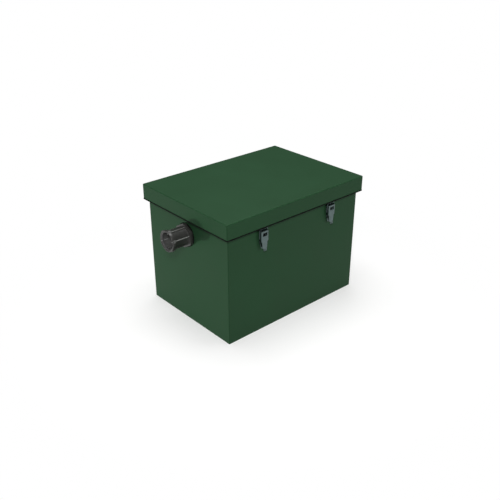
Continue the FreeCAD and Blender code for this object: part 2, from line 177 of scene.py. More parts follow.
def powder_coated_steel():
    """Polyester powder coat baked on sheet steel: satin, with a fine orange peel in its gloss."""
    material, tree = blank_material("powder_coated_steel")
    place = add(tree, "ShaderNodeTexCoord").outputs["Object"]
    # Real orange peel is 1 to 2 mm across, drawn at 2.4 mm so that it shows in the render.
    peel = add(tree, "ShaderNodeTexNoise", inputs={
        "Vector": place, "Scale": per_metre(2.4), "Detail": 3.0, "Roughness": 0.55})
    # The film's thickness drifts over a hand's width.
    drift = add(tree, "ShaderNodeTexNoise", inputs={
        "Vector": place, "Scale": per_metre(110), "Detail": 2.0, "Roughness": 0.5})
    # Specks of coarser powder, about 1 mm across and some 7 mm apart.
    speck = add(tree, "ShaderNodeTexVoronoi", inputs={"Vector": place, "Scale": per_metre(7)})
    speck_edge = add(tree, "ShaderNodeMapRange", inputs={
        "Value": speck.outputs["Distance"], "From Min": 0.05, "From Max": 0.12,
        "To Min": 0.35, "To Max": 0.0})
    ground = add(tree, "ShaderNodeMix", {"data_type": "RGBA"}, {
        0: drift.outputs["Fac"], 6: colour("1e3d25"), 7: colour("22442b")})
    mottled = add(tree, "ShaderNodeMix", {"data_type": "RGBA"}, {
        0: speck_edge.outputs["Result"], 6: ground.outputs[2], 7: colour("284c31")})
    gloss = add(tree, "ShaderNodeMapRange", inputs={
        "Value": drift.outputs["Fac"], "From Min": 0.3, "From Max": 0.7, "To Min": 0.53, "To Max": 0.57})
    bump = add(tree, "ShaderNodeBump", inputs={
        "Height": peel.outputs["Fac"], "Strength": 0.5, "Distance": 0.12 * MM})
    surface = add(tree, "ShaderNodeBsdfPrincipled", inputs={
        "Base Color": mottled.outputs[2], "Roughness": gloss.outputs["Result"],
        "IOR": 1.5, "Specular IOR Level": 0.14})
    finish_surface(tree, surface, bump)
    return material


def zinc_plated_steel():
    """Pressed steel with bright zinc plate passivated blue: a cool grey metal with lines up the strip."""
    material, tree = blank_material("zinc_plated_steel")
    place = add(tree, "ShaderNodeTexCoord").outputs["Object"]
    # Rolling lines run up the strip, 0.6 mm apart so that they show.
    lines = add(tree, "ShaderNodeMapping", inputs={"Vector": place, "Scale": (1.0, 1.0, 0.06)})
    grain = add(tree, "ShaderNodeTexNoise", inputs={
        "Vector": lines.outputs["Vector"], "Scale": per_metre(0.6), "Detail": 2.0})
    cloud = add(tree, "ShaderNodeTexNoise", inputs={
        "Vector": place, "Scale": per_metre(9), "Detail": 3.0, "Roughness": 0.6})
    tint = add(tree, "ShaderNodeMix", {"data_type": "RGBA"}, {
        0: cloud.outputs["Fac"], 6: colour("53605f"), 7: colour("667575")})
    gloss = add(tree, "ShaderNodeMapRange", inputs={
        "Value": grain.outputs["Fac"], "From Min": 0.3, "From Max": 0.7, "To Min": 0.3, "To Max": 0.46})
    bump = add(tree, "ShaderNodeBump", inputs={
        "Height": grain.outputs["Fac"], "Strength": 0.25, "Distance": 0.03 * MM})
    surface = add(tree, "ShaderNodeBsdfPrincipled", inputs={
        "Base Color": tint.outputs[2], "Metallic": 1.0, "Roughness": gloss.outputs["Result"]})
    finish_surface(tree, surface, bump)
    return material


def moulded_polypropylene(name, dark, light, smoothest):
    """Injection-moulded polypropylene: a spark-eroded grain, slightly waxy, with faint flow marks."""
    material, tree = blank_material(name)
    place = add(tree, "ShaderNodeTexCoord").outputs["Object"]
    # The mould's grain is about 0.3 mm, drawn at 0.8 mm so that it shows.
    grain = add(tree, "ShaderNodeTexNoise", inputs={
        "Vector": place, "Scale": per_metre(0.8), "Detail": 2.0, "Roughness": 0.6})
    flow = add(tree, "ShaderNodeTexNoise", inputs={
        "Vector": place, "Scale": per_metre(18), "Detail": 3.0, "Distortion": 1.2})
    tint = add(tree, "ShaderNodeMix", {"data_type": "RGBA"}, {
        0: flow.outputs["Fac"], 6: colour(dark), 7: colour(light)})
    # A surface is painted pale, as painted highlight and painted light, as far as its piece's painted light
    # values say.
    painted_light = add(tree, "ShaderNodeAttribute", {"attribute_name": "painted_light"})
    painted_pale = add(tree, "ShaderNodeMix", {"data_type": "RGBA"}, {
        0: painted_light.outputs["Fac"], 6: tint.outputs[2], 7: colour("8b8d8b")})
    gloss = add(tree, "ShaderNodeMapRange", inputs={
        "Value": flow.outputs["Fac"], "From Min": 0.3, "From Max": 0.7,
        "To Min": smoothest, "To Max": smoothest + 0.1})
    bump = add(tree, "ShaderNodeBump", inputs={
        "Height": grain.outputs["Fac"], "Strength": 0.2, "Distance": 0.02 * MM})
    surface = add(tree, "ShaderNodeBsdfPrincipled", inputs={
        "Base Color": painted_pale.outputs[2], "Roughness": gloss.outputs["Result"], "IOR": 1.49})
    finish_surface(tree, surface, bump)
    return material


def moulded_rubber(name, dark, light, specular):
    """Moulded rubber: near black or dark grey, matt, with a little bloom."""
    material, tree = blank_material(name)
    place = add(tree, "ShaderNodeTexCoord").outputs["Object"]
    bloom = add(tree, "ShaderNodeTexNoise", inputs={
        "Vector": place, "Scale": per_metre(6), "Detail": 4.0, "Roughness": 0.6})
    tint = add(tree, "ShaderNodeMix", {"data_type": "RGBA"}, {
        0: bloom.outputs["Fac"], 6: colour(dark), 7: colour(light)})
    bump = add(tree, "ShaderNodeBump", inputs={
        "Height": bloom.outputs["Fac"], "Strength": 0.2, "Distance": 0.05 * MM})
    surface = add(tree, "ShaderNodeBsdfPrincipled", inputs={
        "Base Color": tint.outputs[2], "Roughness": 0.8, "IOR": 1.52,
        "Specular IOR Level": specular})
    finish_surface(tree, surface, bump)
    return material


def foamed_chloroprene():
    """Closed-cell chloroprene strip: black, dull, with its cut cells open at the surface."""
    material, tree = blank_material("foamed_chloroprene")
    place = add(tree, "ShaderNodeTexCoord").outputs["Object"]
    # Cells are about 0.5 mm, drawn at 1.5 mm so that they show.
    cells = add(tree, "ShaderNodeTexVoronoi", inputs={"Vector": place, "Scale": per_metre(1.5)})
    tint = add(tree, "ShaderNodeMix", {"data_type": "RGBA"}, {
        0: cells.outputs["Distance"], 6: colour("0e0f0f"), 7: colour("2a2c2b")})
    bump = add(tree, "ShaderNodeBump", inputs={
        "Height": cells.outputs["Distance"], "Strength": 0.6, "Distance": 0.3 * MM})
    surface = add(tree, "ShaderNodeBsdfPrincipled", inputs={
        "Base Color": tint.outputs[2], "Roughness": 0.9, "IOR": 1.5})
    finish_surface(tree, surface, bump)
    return material


def studio_floor():
    """Matt white board that takes the shadow near the object and turns plain white further out."""
    material, tree = blank_material("white_board")
    place = add(tree, "ShaderNodeTexCoord").outputs["Object"]
    reach = add(tree, "ShaderNodeVectorMath", {"operation": "LENGTH"}, {0: place})
    fade = add(tree, "ShaderNodeMapRange", inputs={
        "Value": reach.outputs["Value"], "From Min": 0.3, "From Max": 0.8,
        "To Min": 0.4, "To Max": 1.0})
    path = add(tree, "ShaderNodeLightPath")
    seen = add(tree, "ShaderNodeMath", {"operation": "MAXIMUM"}, {
        0: path.outputs["Is Camera Ray"], 1: path.outputs["Is Glossy Ray"]})
    seen_through = add(tree, "ShaderNodeMath", {"operation": "MAXIMUM"}, {
        0: seen.outputs[0], 1: path.outputs["Is Transmission Ray"]})
    share = add(tree, "ShaderNodeMath", {"operation": "MULTIPLY"}, {
        0: fade.outputs["Result"], 1: seen_through.outputs[0]})
    # What bounces back on the object is held down, as by a darker floor.
    tone = add(tree, "ShaderNodeMix", {"data_type": "RGBA"}, {
        0: seen_through.outputs[0], 6: colour("8c8c8b"), 7: colour("fbfbfa")})
    board = add(tree, "ShaderNodeBsdfDiffuse", inputs={"Color": tone.outputs[2]})
    white = add(tree, "ShaderNodeEmission", inputs={"Color": (1, 1, 1, 1), "Strength": 1.0})
    both = add(tree, "ShaderNodeMixShader", inputs={
        0: share.outputs[0], 1: board.outputs[0], 2: white.outputs[0]})
    add(tree, "ShaderNodeOutputMaterial", inputs={"Surface": both.outputs[0]})
    return material


COAT = powder_coated_steel()
ZINC = zinc_plated_steel()
BLACK_PLASTIC = moulded_polypropylene("moulded_black_polypropylene", "262625", "393937", 0.3)
GREY_PLASTIC = moulded_polypropylene("moulded_grey_polypropylene", "5f6463", "767b79", 0.38)
# Near-black rubber for the seals; on the lid's edge trim it is also a painted shadow, the dark line of
# shade under the skirt's lower edge.
RUBBER_AND_SHADOW_LINE = moulded_rubber("epdm_rubber_and_shadow_line", "090c0a", "121513", 0.08)
# The lip rings are painted a paler grey than their rubber, as painted light inside the socket's mouth.
SEAL_RUBBER_PAINTED_LIGHT = moulded_rubber("nitrile_rubber_painted_light", "3e3d3e", "4c4b4c", 0.4)
FOAM = foamed_chloroprene()


def new_tree(name, inputs):
    """A geometry tree with a Geometry input and output and the named inputs asked for."""
    tree = bpy.data.node_groups.new(name, "GeometryNodeTree")
    tree.interface.new_socket(name="Geometry", in_out="INPUT", socket_type="NodeSocketGeometry")
    for label, kind in inputs.items():
        tree.interface.new_socket(name=label, in_out="INPUT", socket_type=kind)
    tree.interface.new_socket(name="Geometry", in_out="OUTPUT", socket_type="NodeSocketGeometry")
    return tree, add(tree, "NodeGroupInput")


def close_tree(tree, geometry, metal):
    """Ends a tree with Realize Instances and Set Material."""
    real = add(tree, "GeometryNodeRealizeInstances", inputs={"Geometry": geometry})
    dressed = add(tree, "GeometryNodeSetMaterial", inputs={
        "Geometry": real.outputs["Geometry"], "Material": metal})
    add(tree, "NodeGroupOutput", inputs={"Geometry": dressed.outputs["Geometry"]})
    return tree


def grow(piece, tree, values):
    """Runs a tree on a piece with its named inputs set, and leaves a plain mesh."""
    modifier = piece.modifiers.new(tree.name, "NODES")
    modifier.node_group = tree
    for item in tree.interface.items_tree:
        if item.item_type == "SOCKET" and item.in_out == "INPUT" and item.name in values:
            modifier[item.identifier] = values[item.name]
    return settle(piece)


def settle(piece):
    """Turns a piece and its modifiers into one plain mesh."""
    bpy.context.view_layer.update()
    seen = piece.evaluated_get(bpy.context.evaluated_depsgraph_get())
    mesh = bpy.data.meshes.new_from_object(seen)
    piece.modifiers.clear()
    piece.data = mesh
    return piece


def new_piece(name, verts, edges, faces):
    """A mesh object from points in millimetres."""
    mesh = bpy.data.meshes.new(name)
    mesh.from_pydata([Vector(v) * MM for v in verts], edges, faces)
    piece = bpy.data.objects.new(name, mesh)
    bpy.context.scene.collection.objects.link(piece)
    return piece


def rivet_tree():
    """Round heads on points, each turned to its point's facing attribute."""
    tree, given = new_tree("rivet_heads", {
        "Head radius": "NodeSocketFloat", "Head height": "NodeSocketFloat",
        "Metal": "NodeSocketMaterial"})
    facing = add(tree, "GeometryNodeInputNamedAttribute", {"data_type": "FLOAT_VECTOR"}, {
        "Name": "facing"})
    turned = add(tree, "FunctionNodeAlignRotationToVector", {"axis": "Z"}, {
        "Vector": facing.outputs["Attribute"]})
    head = add(tree, "GeometryNodeMeshUVSphere", inputs={"Segments": 20, "Rings": 10, "Radius": 1.0})
    size = add(tree, "ShaderNodeCombineXYZ", inputs={
        "X": given.outputs["Head radius"], "Y": given.outputs["Head radius"],
        "Z": given.outputs["Head height"]})
    points = add(tree, "GeometryNodeMeshToPoints", inputs={"Mesh": given.outputs["Geometry"]})
    placed = add(tree, "GeometryNodeInstanceOnPoints", inputs={
        "Points": points.outputs["Points"], "Instance": head.outputs["Mesh"],
        "Rotation": turned.outputs["Rotation"], "Scale": size.outputs["Vector"]})
    smooth = add(tree, "GeometryNodeSetShadeSmooth", inputs={"Geometry": placed.outputs["Instances"]})
    return close_tree(tree, smooth.outputs["Geometry"], given.outputs["Metal"])


def weld_tree():
    """Overlapping ripples of weld metal along the piece's edges, each a little different in size."""
    tree, given = new_tree("weld_ripples", {
        "Bead radius": "NodeSocketFloat", "Ripple pitch": "NodeSocketFloat",
        "Seed": "NodeSocketInt", "Metal": "NodeSocketMaterial"})
    path = add(tree, "GeometryNodeMeshToCurve", inputs={"Mesh": given.outputs["Geometry"]})
    along = add(tree, "GeometryNodeCurveToPoints", {"mode": "LENGTH"}, {
        "Curve": path.outputs["Curve"], "Length": given.outputs["Ripple pitch"]})
    ripple = add(tree, "GeometryNodeMeshUVSphere", inputs={"Segments": 8, "Rings": 5, "Radius": 1.0})
    spread = add(tree, "FunctionNodeRandomValue", {"data_type": "FLOAT"}, {
        2: 0.85, 3: 1.15, "Seed": given.outputs["Seed"]})
    wide = add(tree, "ShaderNodeMath", {"operation": "MULTIPLY"}, {
        0: given.outputs["Bead radius"], 1: spread.outputs[1]})
    size = add(tree, "ShaderNodeCombineXYZ", inputs={
        "X": wide.outputs[0], "Y": wide.outputs[0], "Z": given.outputs["Ripple pitch"]})
    placed = add(tree, "GeometryNodeInstanceOnPoints", inputs={
        "Points": along.outputs["Points"], "Instance": ripple.outputs["Mesh"],
        "Rotation": along.outputs["Rotation"], "Scale": size.outputs["Vector"]})
    smooth = add(tree, "GeometryNodeSetShadeSmooth", inputs={"Geometry": placed.outputs["Instances"]})
    return close_tree(tree, smooth.outputs["Geometry"], given.outputs["Metal"])


def ring_tree():
    """The piece's own edges as a profile, carried round a circle about the local Z axis."""
    tree, given = new_tree("turned_ring", {
        "Ring radius": "NodeSocketFloat", "Metal": "NodeSocketMaterial"})
    profile = add(tree, "GeometryNodeMeshToCurve", inputs={"Mesh": given.outputs["Geometry"]})
    circle = add(tree, "GeometryNodeCurvePrimitiveCircle", {"mode": "RADIUS"}, {
        "Resolution": 96, "Radius": given.outputs["Ring radius"]})
    ring = add(tree, "GeometryNodeCurveToMesh", inputs={
        "Curve": circle.outputs["Curve"], "Profile Curve": profile.outputs["Curve"]})
    smooth = add(tree, "GeometryNodeSetShadeSmooth", inputs={"Geometry": ring.outputs["Mesh"]})
    return close_tree(tree, smooth.outputs["Geometry"], given.outputs["Metal"])


RIVETS = rivet_tree()
WELDS = weld_tree()
RINGS = ring_tree()


def pointed_piece(name, places):
    """A mesh of single points, each with the direction it faces."""
    piece = new_piece(name, [place for place, _ in places], [], [])
    facing = piece.data.attributes.new("facing", "FLOAT_VECTOR", "POINT")
    for i, (_, direction) in enumerate(places):
        facing.data[i].vector = direction
    return piece


def latch_places():
    """Each latch's name, its place on X, and -1 on the front or 1 on the back."""
    for side_name, side in (("front", -1), ("back", 1)):
        for place_name, x in (("left", -LATCH_OFFSET), ("right", LATCH_OFFSET)):
            yield side_name + "_" + place_name, x, side


def latch_matrix(x, side):
    """Takes a latch piece made at the origin, facing -Y, to its wall."""
    turn = Matrix.Rotation(0 if side < 0 else math.pi, 4, "Z")
    return Matrix.Translation((x * MM, side * HALF_WIDTH * MM, 0)) @ turn


def rivets():
    """Rivet heads on the latch plates, their ends inside the tank, and the keepers' spot welds."""
    outside = []
    inside = []
    spots = []
    for _, x, side in latch_places():
        for drop in RIVET_DROPS:
            z = SKIRT_EDGE - drop
            outside.append(((x, side * (HALF_WIDTH + PLATE_THICKNESS), z), (0, side, 0)))
            inside.append(((x, side * (HALF_WIDTH - WALL_SHEET), z), (0, -side, 0)))
        for rise in SPOT_WELD_RISES:
            spots.append(((x, side * (HALF_WIDTH + KEEPER_FACE_U), SKIRT_EDGE + rise), (0, -side, 0)))
    for name, places, body, radius, height, slot_name in (
        ("latch_rivet_heads", outside, "tank", 3.2, 1.2, "zinc_plate"),
        ("latch_rivet_ends", inside, "tank", 2.4, 4.0, "zinc_plate"),
        ("keeper_spot_welds", spots, "lid", 2.2, 0.25, "zinc_plate"),
    ):
        piece = grow(pointed_piece(name, places), RIVETS, {
            "Head radius": radius * MM, "Head height": height * MM, "Metal": ZINC})
        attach(piece, body)


def welds():
    """Fillet welds inside the tank: round the floor, up the corners and up the baffles' edges."""
    inner_x = HALF_LENGTH - WALL_SHEET
    inner_y = HALF_WIDTH - WALL_SHEET
    floor_z = WALL_SHEET
    top_z = rim_high.z / MM - WALL_SHEET
    corners = [(-inner_x, -inner_y), (inner_x, -inner_y), (inner_x, inner_y), (-inner_x, inner_y)]
    runs = []
    for i, (x, y) in enumerate(corners):
        next_x, next_y = corners[(i + 1) % len(corners)]
        runs.append(((x, y, floor_z), (next_x, next_y, floor_z)))
        runs.append(((x, y, floor_z), (x, y, top_z)))
    for node in ("inlet_baffle", "outlet_baffle"):
        low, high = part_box(node)
        plate_x = low.x if node == "inlet_baffle" else high.x
        for y in (-inner_y, inner_y):
            runs.append(((plate_x / MM, y, low.z / MM), (plate_x / MM, y, high.z / MM)))
    verts = [end for run in runs for end in run]
    edges = [(2 * i, 2 * i + 1) for i in range(len(runs))]
    piece = grow(new_piece("inside_weld_beads", verts, edges, []), WELDS, {
        "Bead radius": WELD_RADIUS * MM, "Ripple pitch": WELD_PITCH * MM, "Seed": 11, "Metal": COAT})
    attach(piece, "tank")


def lip_seals():
    """The two-lipped rubber rings in the sockets' beads."""
    for end in ("inlet", "outlet"):
        node = end + "_lip_seal"
        low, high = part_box(node)
        length = (high.x - low.x) / MM
        outer = (high.z - low.z) / 2 / MM
        middle = (low + high) / 2
        ring = outer - SEAL_HALF_WALL
        # Distance out from the ring's middle line, and distance along the pipe.
        profile = [
            (SEAL_HALF_WALL, 0.0), (SEAL_HALF_WALL, length), (-0.4, length), (-1.2, length - 0.7),
            (-0.3, length - 1.6), (-0.3, 1.6), (-1.2, 0.7), (-0.4, 0.0),
        ]
        verts = [(radial, along - length / 2, 0) for radial, along in profile]
        edges = [(i, (i + 1) % len(profile)) for i in range(len(profile))]
        piece = grow(new_piece(end + "_lip_ring", verts, edges, []), RINGS, {
            "Ring radius": ring * MM, "Metal": SEAL_RUBBER_PAINTED_LIGHT})
        piece.data.transform(Matrix.Translation(middle) @ Matrix.Rotation(math.pi / 2, 4, "Y"))
        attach(piece, "tank")
        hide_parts(node)


def lever_half_widths(z):
    """The pressed lever's half width at a height: full, stepped in, then tapered to the grip."""
    step_top = SHOULDER_Z + LEVER_STEP / 2
    step_bottom = SHOULDER_Z - LEVER_STEP / 2
    waist = LEVER_HALF_WIDTH - LEVER_STEP
    if z >= step_top:
        return LEVER_HALF_WIDTH
    if z >= step_bottom:
        share = (step_top - z) / LEVER_STEP
        return LEVER_HALF_WIDTH - share * LEVER_STEP
    share = (step_bottom - z) / (step_bottom - GRIP_Z)
    return waist - share * (waist - GRIP_HALF_WIDTH)


def lever_flange_depth(z):
    """How far out of the wall the side flange's free edge stands at a height."""
    if z > PIVOT_Z:
        return PIVOT_U - math.sqrt(EAR_RADIUS ** 2 - (z - PIVOT_Z) ** 2)
    if z > DEEP_Z:
        share = (PIVOT_Z - z) / (PIVOT_Z - DEEP_Z)
        return (PIVOT_U - EAR_RADIUS) * (1 - share) + LEVER_INNER * share
    if z >= SHOULDER_Z:
        return LEVER_INNER
    share = (SHOULDER_Z - z) / (SHOULDER_Z - GRIP_Z)
    return LEVER_INNER + share * (LEVER_OUTER - 2 * LEVER_SHEET - LEVER_INNER)


def lever_mesh(name):
    """The latch's pressed channel with rounded bends, a window, a pivot knuckle and a finger tab."""
    top = PIVOT_Z + LEVER_RISE
    window_top = SKIRT_EDGE - WINDOW_DROP
    window_bottom = window_top - WINDOW_HEIGHT
    bend = LEVER_BEND
    rows = [
        top, top - 0.6, PIVOT_Z + 0.8, PIVOT_Z - 1.0, window_top, window_top - 1.5,
        window_bottom + 1.5, window_bottom, DEEP_Z - 6.0, SHOULDER_Z + 5, SHOULDER_Z + LEVER_STEP / 2,
        SHOULDER_Z, SHOULDER_Z - LEVER_STEP / 2, SHOULDER_Z - 6.0, SHOULDER_Z - 14.0, GRIP_Z + 2.5, GRIP_Z,
    ]
    verts = []
    faces = []
    # Each row has seven points to either side of the middle one.
    columns = 15
    for z in rows:
        half = lever_half_widths(z) - 0.02
        inner = lever_flange_depth(z)
        outer = LEVER_OUTER - (0.9 if z > top - 0.3 else 0.0)
        window = min(WINDOW_HALF_WIDTH, half - bend - 0.5)
        side = [(half, inner), (half, (inner + outer - bend) / 2), (half, outer - bend)]
        for step in (1, 2):
            angle = math.radians(30 * step)
            side.append((half - bend + bend * math.cos(angle), outer - bend + bend * math.sin(angle)))
        side.append((half - bend, outer))
        side.append((window, outer))
        line = [(-x, u) for x, u in side] + [(0.0, outer)] + [(x, u) for x, u in reversed(side)]
        verts += [(x, -u, z) for x, u in line]
    for r in range(len(rows) - 1):
        in_window = rows[r] <= window_top + 0.01 and rows[r + 1] >= window_bottom - 0.01
        for c in range(columns - 1):
            # The strips on both sides of the middle point are left out to make the window.
            if in_window and c in (6, 7):
                continue
            a = r * columns + c
            faces.append((a, a + 1, a + columns + 1, a + columns))
    piece = new_piece(name, verts, [], faces)
    mesh = bmesh.new()
    mesh.from_mesh(piece.data)
    last = (len(rows) - 1) * columns
    mesh.verts.ensure_lookup_table()
    tab_top = [mesh.verts[last + c] for c in (6, 7, 8)]
    for fraction in (0.35, 0.7, 1.0):
        turn_out = FINGER_TURN_OUT * fraction ** 2
        z = (GRIP_Z - FINGER_LENGTH * fraction) * MM
        narrow = FINGER_HALF_WIDTH * (1.0 if fraction < 0.9 else 0.86)
        tab = [mesh.verts.new((x * MM, -(LEVER_OUTER + turn_out) * MM, z)) for x in (-narrow, 0, narrow)]
        for i in (0, 1):
            mesh.faces.new((tab_top[i], tab_top[i + 1], tab[i + 1], tab[i]))
        tab_top = tab
    bmesh.ops.recalc_face_normals(mesh, faces=mesh.faces)
    outward = sum((face.normal.y * face.calc_area() for face in mesh.faces), 0.0)
    if outward > 0:
        bmesh.ops.reverse_faces(mesh, faces=mesh.faces)
    mesh.to_mesh(piece.data)
    mesh.free()
    shell = piece.modifiers.new("sheet", "SOLIDIFY")
    shell.thickness = LEVER_SHEET * MM
    shell.offset = -1.0
    shell.use_even_offset = True
    soft = piece.modifiers.new("sheared_edges", "BEVEL")
    soft.width = 0.18 * MM
    soft.segments = 2
    soft.limit_method = "ANGLE"
    soft.angle_limit = math.radians(40)
    return settle(piece)


def knuckle_mesh(name):
    """The rolled eye at the lever's top edge that turns on the pivot pin."""
    segments = 28
    verts = []
    faces = []
    for x in (-KNUCKLE_HALF_WIDTH, KNUCKLE_HALF_WIDTH):
        for radius in (LEVER_OUTER - PIVOT_U - 1.3, PIN_HOLE_RADIUS):
            for i in range(segments):
                angle = 2 * math.pi * i / segments
                verts.append((x, -PIVOT_U + radius * math.cos(angle), PIVOT_Z + radius * math.sin(angle)))
    for i in range(segments):
        j = (i + 1) % segments
        faces.append((i, j, 2 * segments + j, 2 * segments + i))
        faces.append((segments + j, segments + i, 3 * segments + i, 3 * segments + j))
        faces.append((j, i, segments + i, segments + j))
        faces.append((2 * segments + i, 2 * segments + j, 3 * segments + j, 3 * segments + i))
    return new_piece(name, verts, [], faces)


def bail_mesh(name):
    """The wire loop as one smooth tube with rounded bends."""
    leg_x = LEVER_HALF_WIDTH + BAIL_SIDE_GAP + WIRE_RADIUS
    end_x = LEVER_HALF_WIDTH - LEVER_SHEET - WIRE_RADIUS / 2
    lean = math.atan2(BAR_U - BAIL_PIVOT_U, BAR_Z - BAIL_PIVOT_Z)
    length = math.hypot(BAR_U - BAIL_PIVOT_U, BAR_Z - BAIL_PIVOT_Z)
    foot = WIRE_RADIUS
    half_path = [(end_x, 0.0), (leg_x - foot, 0.0)]
    for step in range(1, 5):
        angle = math.radians(90 * step / 4)
        half_path.append((leg_x - foot + foot * math.sin(angle), foot - foot * math.cos(angle)))
    for step in range(9):
        angle = math.radians(90 * step / 8)
        half_path.append((leg_x - BAIL_BEND + BAIL_BEND * math.cos(angle),
                          length - BAIL_BEND + BAIL_BEND * math.sin(angle)))
    path = half_path + [(-x, z) for x, z in reversed(half_path)]
    curve = bpy.data.curves.new(name, "CURVE")
    curve.dimensions = "3D"
    curve.bevel_depth = WIRE_RADIUS * MM
    curve.bevel_resolution = 4
    curve.use_fill_caps = True
    spline = curve.splines.new("POLY")
    spline.points.add(len(path) - 1)
    for point, (x, z) in zip(spline.points, path):
        u = BAIL_PIVOT_U + z * math.sin(lean)
        point.co = (x * MM, -u * MM, (BAIL_PIVOT_Z + z * math.cos(lean)) * MM, 1.0)
    wire = bpy.data.objects.new(name + "_line", curve)
    bpy.context.scene.collection.objects.link(wire)
    bpy.context.view_layer.update()
    mesh = bpy.data.meshes.new_from_object(wire.evaluated_get(bpy.context.evaluated_depsgraph_get()))
    bpy.data.objects.remove(wire)
    piece = bpy.data.objects.new(name, mesh)
    bpy.context.scene.collection.objects.link(piece)
    return piece


def turned_loops(profile, steps):
    """Points and faces of a closed profile of (radius, distance along X) carried round the X axis."""
    verts = []
    for radius, along in profile:
        for i in range(steps):
            angle = 2 * math.pi * i / steps
            reach = radius(angle) if callable(radius) else radius
            verts.append((along, reach * math.cos(angle), reach * math.sin(angle)))
    faces = []
    for row in range(len(profile)):
        here = row * steps
        there = (row + 1) % len(profile) * steps
        for i in range(steps):
            j = (i + 1) % steps
            faces.append((here + i, here + j, there + j, there + i))
    return verts, faces


def flange_reach(inset):
    """The hexagon's distance from the axis at an angle, with its corners taken off a little."""
    def reach(angle):
        flat = FLANGE_CORNER * math.cos(math.pi / 6)
        within = (angle - math.pi / 6) % (math.pi / 3) - math.pi / 6
        return min(flat / math.cos(within), FLANGE_CORNER - 0.7) - inset
    return reach


def fin(section, start, end, angle):
    """Points and faces of a bar along X with this (across, radius) section, at an angle round the axis."""
    verts = []
    for along in (start, end):
        for across, radius in section:
            y = radius * math.cos(angle) - across * math.sin(angle)
            z = radius * math.sin(angle) + across * math.cos(angle)
            verts.append((along, y, z))
    count = len(section)
    faces = [tuple(range(count)), tuple(range(2 * count - 1, count - 1, -1))]
    for i in range(count):
        j = (i + 1) % count
        faces.append((i, count + i, count + j, j))
    return verts, faces


def painted_bore_light(vert):
    """How much painted light a socket's surface gets: the bore is painted paler, standing in for light
    falling into the mouth.
    """
    along, y, z = vert
    in_bore = along > SOCKET_STOP - 0.5 and math.hypot(y, z) < BORE_RADIUS + 0.6
    return 0.22 if in_bore else 0.0


def socket_body(reach, groove):
    """The tail, sleeve, bead and bore as one closed profile of (radius, distance along X)."""
    tail = FLANGE_START - TAIL_LENGTH
    bead = reach - BEAD_LENGTH
    return [
        (PASSAGE_RADIUS, tail), (TAIL_RADIUS - 0.8, tail), (TAIL_RADIUS, tail + 0.8),
        (TAIL_RADIUS, FLANGE_START + 1), (SLEEVE_RADIUS + 1.6, FLANGE_START + 1),
        (SLEEVE_RADIUS + 1.6, FLANGE_END), (SLEEVE_RADIUS + 0.5, FLANGE_END + 0.5),
        (SLEEVE_RADIUS, FLANGE_END + 1.6), (SLEEVE_RADIUS, bead - 1.5),
        (SLEEVE_RADIUS + 0.5, bead - 0.5), (SLEEVE_RADIUS + 1.5, bead),
        (BEAD_RADIUS - 1.2, bead), (BEAD_RADIUS - 0.35, bead + 0.35), (BEAD_RADIUS, bead + 1.2),
        (BEAD_RADIUS, reach - 1.5), (BEAD_RADIUS - 0.45, reach - 0.45), (BEAD_RADIUS - 1.5, reach),
        (LEAD_IN_RADIUS + 0.4, reach), (LEAD_IN_RADIUS, reach - 0.3),
        (BORE_RADIUS + 0.4, groove[1] + 0.8), (BORE_RADIUS, groove[1] + 0.2),
        (GROOVE_RADIUS, groove[1] + 0.2), (GROOVE_RADIUS, groove[0] - 0.2),
        (BORE_RADIUS, groove[0] - 0.2), (BORE_RADIUS, SOCKET_STOP + 0.4),
        (BORE_RADIUS - 0.4, SOCKET_STOP), (PASSAGE_RADIUS, SOCKET_STOP),
    ]


def socket_flange():
    """The hexagonal flange with eased edges, as a closed profile of (radius, distance along X)."""
    return [
        (FLANGE_HOLE_RADIUS, FLANGE_START), (flange_reach(0.7), FLANGE_START),
        (flange_reach(0.2), FLANGE_START + 0.2), (flange_reach(0.0), FLANGE_START + 0.7),
        (flange_reach(0.0), FLANGE_END - 0.7), (flange_reach(0.2), FLANGE_END - 0.2),
        (flange_reach(0.7), FLANGE_END), (FLANGE_HOLE_RADIUS, FLANGE_END),
    ]


def socket_fins(reach, groove):
    """Each bar on a socket: its (across, radius) section, its two ends, and how strong each corner's
    painted highlight is.
    """
    bead = reach - BEAD_LENGTH
    rib_top = SLEEVE_RADIUS + RIB_HEIGHT
    lug_top = BEAD_RADIUS + LUG_HEIGHT
    guide_top = BORE_RADIUS - GUIDE_HEIGHT
    rib = [(-1.6, SLEEVE_RADIUS - 0.5), (-1.4, rib_top - 0.5), (-0.9, rib_top),
           (0.9, rib_top), (1.4, rib_top - 0.5), (1.6, SLEEVE_RADIUS - 0.5)]
    lug = [(-4.6, BEAD_RADIUS - 1.5), (-4.3, lug_top - 0.5), (-3.7, lug_top),
           (3.7, lug_top), (4.3, lug_top - 0.5), (4.6, BEAD_RADIUS - 1.5)]
    lead_in_guide = [(-1.1, LEAD_IN_RADIUS + 0.5), (-0.8, guide_top),
                     (0.8, guide_top), (1.1, LEAD_IN_RADIUS + 0.5)]
    bore_guide = [(-1.0, BORE_RADIUS + 0.4), (-0.8, guide_top),
                  (0.8, guide_top), (1.0, BORE_RADIUS + 0.4)]
    return [
        (rib, FLANGE_END - 1, bead + 1, (0, 0, 1, 1, 0, 0)),
        (lug, bead + 2, reach - 2, (0, 0.1, 0.35, 0.35, 0.1, 0)),
        (lead_in_guide, groove[1] + 0.4, reach - 0.8, (0.3, 1, 1, 0.3)),
        (bore_guide, groove[0] - 13, groove[0] - 0.4, (0.5, 1, 1, 0.5)),
    ]


